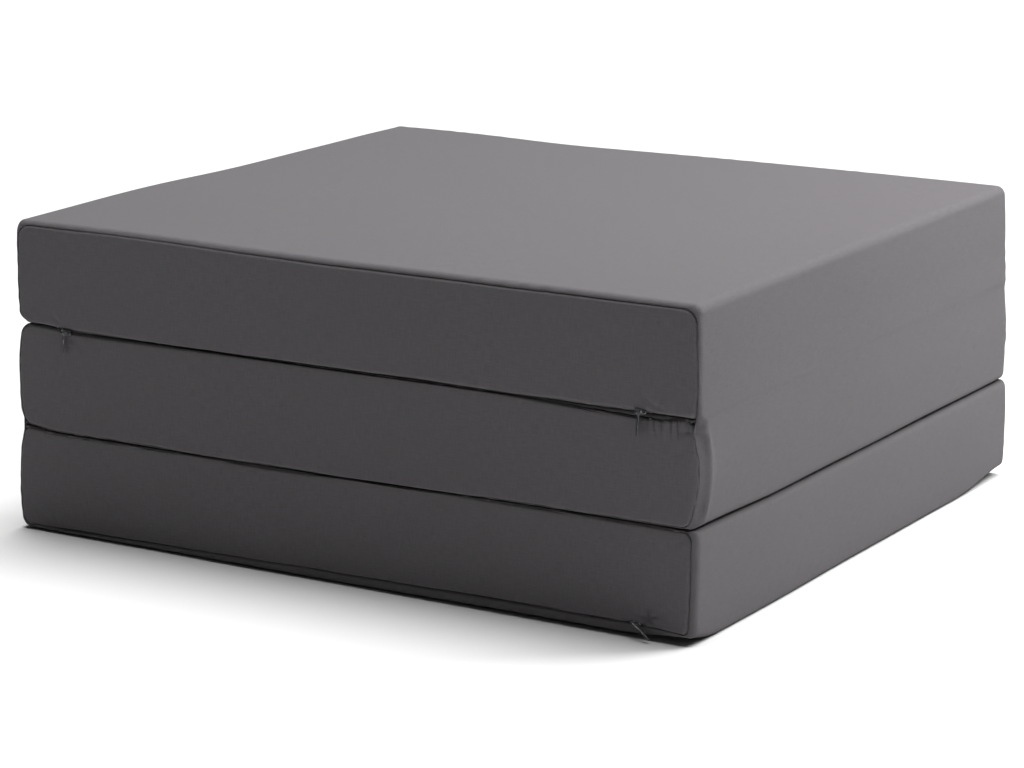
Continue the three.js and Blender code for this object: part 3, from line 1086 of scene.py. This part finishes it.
def lacquer_finish():
    finish = Finish("dark_lacquered_zinc", Metallic=0.9, Roughness=0.35)
    place = finish.node("ShaderNodeTexCoord").outputs["Object"]
    wear = finish.noise(place, 420.0, 4.0, 0.6)
    worn = ((wear - 0.56) * 9.0).largest(0.0)
    finish.feed("Base Color", finish.mix(worn, (0.085, 0.085, 0.09, 1), (0.26, 0.26, 0.27, 1)))
    finish.feed("Roughness", 0.28 + wear * 0.22)
    finish.bump(wear, 0.05 * MM, 0.4)
    return finish.material


TAPE, NYLON, LACQUER = tape_finish(), nylon_finish(), lacquer_finish()


def zip_line(name, x, slit=0.0):
    """The height of a section's front seam along its zip, at the given places along X."""
    side = SHAPES[name]["zip_side"]
    line = straight_side(seam_outline(name, True, slit), side)
    line = line[np.argsort(line[:, 0])]
    return np.interp(x, line[:, 0], line[:, 1])


def zip_faces_up(name):
    return 1 if SHAPES[name]["zip_side"] == 2 else -1


def make_tape(name, toward_panel):
    """A ribbon along the zip. Behind the panel it runs straight away from the slit. The other one lies behind it,
    turns at the height of the block's edge, under the strip, and goes on into the block."""
    low, high = BOXES[name]
    x = np.linspace(-ZIP_HALF, ZIP_HALF, 190)
    start = zip_line(name, x)
    away = zip_faces_up(name)
    run = np.linspace(0.1 * MM, TAPE_WIDTH, 13)
    depth = face_depth(name, x, start) + TAPE_DEPTH
    if toward_panel:
        z = start[:, None] - away * run[None]
        y = FRONT + depth[:, None] + 0 * z
    else:
        edge = (high[2] if away > 0 else low[2]) - away * (JOINT_GAP + 2.2 * MM)
        drop = edge - start
        down = np.minimum(run[None], np.maximum(np.abs(drop), 0.2 * MM)[:, None])
        z = start[:, None] + np.sign(drop)[:, None] * down
        y = FRONT + depth[:, None] + 1.2 * MM + run[None] - down
    grid = settle(np.stack([x[:, None] + 0 * z, y, z], axis=-1))
    label = "panel" if toward_panel else "edge"
    made = cloth_piece(f"{name}_zip_tape_{label}", grid, TAPE, outward=1)
    made.modifiers["thickness"].thickness = 0.4 * MM
    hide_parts(f"{name}_zip_tape_{label}_side")
    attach(made, f"{name}_section")


def make_coil(name, toward_panel):
    """A helix along the zip: centre + radius (cos t, sin t) across it, with t growing by a turn each pitch. The
    wire's own section is a pentagon whose sides stand out from the helix and along the zip."""
    side = (-1 if toward_panel else 1) * zip_faces_up(name)
    turns = int((2 * ZIP_HALF - 7 * MM) / COIL["pitch"])
    turn = np.linspace(0, turns, turns * 8 + 1) + (0 if toward_panel else 0.5)
    x = (turn - turns / 2 - 0.25) * COIL["pitch"]
    height = zip_line(name, x) - zip_faces_up(name) * 0.4 * MM
    middle = np.stack([x, FRONT + face_depth(name, x, height) + COIL["behind"], height + side * COIL["apart"]], -1)
    angle = 2 * np.pi * turn
    out = np.stack([0 * x, np.cos(angle), side * np.sin(angle)], -1)
    section = 2 * np.pi * np.arange(5) / 5
    lift = np.cos(section)[None, :, None] * out[:, None]
    along = np.sin(section)[None, :, None] * np.array([1.0, 0, 0])
    rings = (middle + COIL["radius"] * out)[:, None] + COIL["wire"] * (lift + along)
    label = "panel" if toward_panel else "edge"
    made = skin_piece(f"{name}_zip_teeth_{label}", *capped(settle(rings)), NYLON)
    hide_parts(f"{name}_zip_coil_{label}_side")
    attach(made, f"{name}_section")


def slab_rings(loop, levels):
    """Rings of a flat body with eased rims: the loop, shrunk at each level. The loop lies in X and Z, and each of
    levels is a place along Y and a share of the loop."""
    rings = [np.column_stack([loop[:, 0] * share, np.full(len(loop), y), loop[:, 1] * share]) for y, share in levels]
    return np.array(rings)


def make_stops(name):
    """A small rounded clamp over both coils at each end of the zip."""
    levels = ((-0.6 * MM, 0.7), (-0.5 * MM, 0.92), (-0.2 * MM, 1), (0.8 * MM, 1), (1.1 * MM, 0.85))
    rings = slab_rings(rounded_loop(1.2 * MM, 1.0 * MM, 0.5 * MM, 4), levels)
    for sign, label in ((-1, "left"), (1, "right")):
        x = sign * (ZIP_HALF - 1.6 * MM)
        height = zip_line(name, np.array([x]))
        place = np.array([x, FRONT + face_depth(name, np.array([x]), height)[0] + 1.4 * MM, height[0]])
        made = skin_piece(f"{name}_zip_end_{label}", *capped(settle(rings + place)), LACQUER)
        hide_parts(f"{name}_zip_stop_{label}")
        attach(made, f"{name}_section")


for section in BOXES:
    for panel_side in (True, False):
        make_tape(section, panel_side)
        make_coil(section, panel_side)
    make_stops(section)
print("zips ready")

# %% [markdown]
# ## Sliders and pulls
# A slider is a small plate in front of the coils, with a bridge on it. The pull is a thin tab with a long eye that
# hangs on the bridge. The tab is one closed skin with a hole: its grid runs round the eye one way and over the rim,
# across the face, through the eye and back the other way.

# %% Sliders and pulls


def bridge_rings(half, reach, wire):
    """A bow over the plate: its path is a quarter circle out, a straight bar and a quarter circle back, and its
    section is an oval that is wider along Z."""
    corner = 1.4 * MM
    angle = np.linspace(0, np.pi / 2, 5)
    rise = np.stack([-half + corner * (1 - np.cos(angle)), -(reach - corner) - corner * np.sin(angle)], -1)
    path = np.concatenate([[(-half, 0.0)], rise, rise[::-1] * (-1, 1), [(half, 0.0)]])
    heading = np.gradient(path, axis=0)
    heading /= np.linalg.norm(heading, axis=1, keepdims=True)
    side = np.stack([-heading[:, 1], heading[:, 0]], -1)
    turn = 2 * np.pi * np.arange(10) / 10
    flat = path[:, None] + wire * np.cos(turn)[None, :, None] * side[:, None]
    return np.stack([flat[..., 0], flat[..., 1], np.broadcast_to(1.25 * wire * np.sin(turn), flat.shape[:2])], -1)


def tab_points(length, width, above):
    """A tab with an eye, hanging from the origin in Y and Z with its thickness along X. Column angles run round the
    eye, and each column passes over the outer rim, the front, the eye's rim and the back."""
    count, thickness = 44, 0.85 * MM
    outer = rounded_loop(length / 2, width / 2, width * 0.46, count // 4)
    inner = rounded_loop(2.6 * MM, width * 0.30, width * 0.28, count // 4)
    outer = outer * np.column_stack([np.ones(len(outer)), 1 + 0.12 * outer[:, 0] / (length / 2)])
    outer_y, outer_z = outer[:, 1], above - length / 2 - outer[:, 0]
    inner_y, inner_z = inner[:, 1], above - 1.1 * MM - 2.6 * MM - inner[:, 0]
    loops = []
    for share, lift in ((0, 0), (0.04, 0.35), (0.15, 0.5), (0.45, 0.42), (0.8, 0.5), (0.94, 0.35), (1, 0),
                        (0.94, -0.35), (0.8, -0.5), (0.45, -0.42), (0.15, -0.5), (0.04, -0.35)):
        y = outer_y + (inner_y - outer_y) * share
        z = outer_z + (inner_z - outer_z) * share
        loops.append(np.stack([np.full(len(y), lift * thickness), y, z], -1))
    return np.array(loops)


def turned(points, axis, angle):
    """Points turned about an axis through the origin."""
    return points @ np.array(Matrix.Rotation(angle, 3, axis)).T


# how far each slider lies to the right of its parked place and above it, in mm, and how its pull hangs: leaning
# and tilting out, in degrees
SLIDERS = {"bottom": (7.5, -0.6, 59, 9), "middle": (-4.5, 1.2, -4, 5), "top": (0.0, -1.6, -3, 4)}


def make_slider(name):
    low, high = (np.array(corner, float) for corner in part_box(f"{name}_zip_slider"))
    shift, lift, lean, tilt = SLIDERS[name]
    joint = next(j["pos_m"] for j in frame["joints"] if j["name"] == f"{name}_pull_swing")
    hinge = np.array(joint) + np.array([shift, 0, lift]) * MM
    place = np.array([hinge[0], FRONT - 0.6 * MM, hinge[2]])
    half = (high[0] - low[0]) / 2
    loop = rounded_loop(half * 0.95, 2.4 * MM, 1.9 * MM, 5) * (1, 1)
    loop[:, 1] *= 1 - 0.22 * loop[:, 0] / half
    plate = capped(slab_rings(loop, ((-0.9 * MM, 0.55), (-0.85 * MM, 0.8), (-0.5 * MM, 1), (0.2 * MM, 1), (0.5 * MM, 0.9))))
    bridge = capped(bridge_rings(half * 0.72, 4.1 * MM, 0.42 * MM))
    points = np.concatenate([plate[0], bridge[0]]) + place
    faces = plate[1] + [[number + len(plate[0]) for number in face] for face in bridge[1]]
    body = skin_piece(f"{name}_slider_body", settle(points), faces, LACQUER)
    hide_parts(f"{name}_zip_slider")
    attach(body, f"{name}_slider")
    tab = tab_points(PULL_LENGTH, 3.0 * MM, 2.0 * MM)
    tab = turned(turned(turned(tab, "Z", math.radians(50)), "X", -math.radians(tilt)), "Y", -math.radians(lean))
    tab = tab + settle(hinge[None])[0]
    tab[..., 2] = np.maximum(tab[..., 2], 0.3 * MM)
    faces = grid_faces(*tab.shape[:2], wrap_rows=True, wrap_columns=True)
    made = skin_piece(f"{name}_pull_tab", tab, faces, LACQUER)
    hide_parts(f"{name}_zip_pull")
    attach(made, f"{name}_pull")
    print(name, "slider at", np.round(place, 4))


PULL_LENGTH = 20.5 * MM
for section in BOXES:
    make_slider(section)

# %% [markdown]
# ## Seams in the folds
# Inside each fold the covers of two blocks are sewn together, and the spare cloth is rolled into a narrow
# felled seam. It is a strip whose cross-section is a spiral, carried along the fold.

# %% Fold seams
SPIRAL_TURNS = 2.4


def make_fold_seam(node, body, inward):
    low, high = (np.array(corner, float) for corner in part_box(node))
    middle, radius = (low + high) / 2, (high[2] - low[2]) / 2
    share = np.linspace(0, 1, 40)
    angle = 2 * np.pi * SPIRAL_TURNS * share
    reach = radius * (0.92 - 0.62 * share)
    y = np.linspace(low[1], high[1], 150)
    x = middle[0] + reach * np.cos(angle)
    z = middle[2] + reach * np.sin(angle)
    grid = np.stack(np.broadcast_arrays(x[:, None], y[None], z[:, None]), -1)
    grid[..., 0] += inward
    grid = settle(grid)
    grid = grid + 0.12 * MM * waves(grid, 30 * MM, 4, 77)[..., None] * np.array([1, 0, 1])
    made = cloth_piece(f"{node}_roll", grid, CLOTH, outward=1)
    made.modifiers["thickness"].thickness = 0.22 * MM
    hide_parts(node)
    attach(made, body)


make_fold_seam("lower_fold_seam", "bottom_section", FOLD_NOTCH["depth"] + 1.5 * MM)
make_fold_seam("upper_fold_seam", "middle_section", -2.2 * MM)

# %% [markdown]
# ## Stitches
# Lockstitch holds the panels in: one short thread after another, sunk in the groove of the seam. All stitches of
# a panel are one mesh of tiny capsules, placed along the seam by its own direction, and none is set on the zip.

# %% Stitches
STITCH = {"every": 3.0 * MM, "half": 1.1 * MM, "thread": 0.2 * MM}


def stitch_seam(name, front):
    """Capsules along the seam: each one's rings lie across the seam's direction at four places along it."""
    outline = seam_outline(name, front, -SLIT)
    line = np.concatenate([route(outline, a, (a + 1) % 4) for a in range(4)])
    length = np.linalg.norm(np.diff(line, axis=0), axis=1).sum()
    count = int(length / STITCH["every"])
    share = (np.arange(count) + 0.5) / count
    place = resample(line, share)
    ahead = resample(line, np.clip(share + 2e-4, 0, 1)) - resample(line, np.clip(share - 2e-4, 0, 1))
    ahead /= np.linalg.norm(ahead, axis=1, keepdims=True)
    on_zip = front & (np.abs(place[:, 0]) < ZIP_HALF + 3 * MM)
    on_zip = on_zip & (np.abs(ahead[:, 0]) > 0.9) & ((place[:, 1] > outline["box"][1] + 40 * MM) == (zip_faces_up(name) > 0))
    place, ahead = place[~on_zip], ahead[~on_zip]
    inside = np.stack([-ahead[:, 1], ahead[:, 0]], -1)
    place = place + inside * 0.7 * MM
    plane, inward = (BOXES[name][0][1], 1) if front else (BOXES[name][1][1], -1)
    y = plane + inward * (face_depth(name, place[:, 0], place[:, 1], front) + 0.62 * MM)
    middle = np.stack([place[:, 0], y, place[:, 1]], -1)
    along = np.stack([ahead[:, 0], np.zeros(len(ahead)), ahead[:, 1]], -1)
    across = np.stack([inside[:, 0], np.zeros(len(inside)), inside[:, 1]], -1)
    turn = 2 * np.pi * np.arange(5) / 5
    ring = np.cos(turn)[:, None] * across[:, None] + np.sin(turn)[:, None] * np.array([0, 1.0, 0])
    rings = [middle[:, None] + along[:, None] * STITCH["half"] * where + ring * STITCH["thread"] * size
             for where, size in ((-1, 0.45), (-0.7, 1), (0.7, 1), (1, 0.45))]
    skins = np.stack(rings, axis=1)
    faces = capped(skins[0])[1]
    points = np.concatenate([skins.reshape(len(skins), -1, 3), skins[:, :1].mean(2), skins[:, -1:].mean(2)], axis=1)
    made = skin_piece(f"{name}_{'front' if front else 'back'}_stitches", settle(points.reshape(-1, 3)),
                      many(points.reshape(-1, 3), faces, len(skins)), THREAD_FINISH)
    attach(made, f"{name}_section")


def thread_finish():
    finish = Finish("sewing_thread", Roughness=0.6, Sheen_Weight=0.3)
    place = finish.node("ShaderNodeTexCoord").outputs["Object"]
    twist = finish.noise(place, 2500.0, 1.0)
    finish.feed("Base Color", finish.mix(twist, (0.030, 0.029, 0.032, 1), (0.085, 0.083, 0.089, 1)))
    return finish.material


THREAD_FINISH = thread_finish()
for section in BOXES:
    stitch_seam(section, True)
    stitch_seam(section, False)
print("stitches ready")
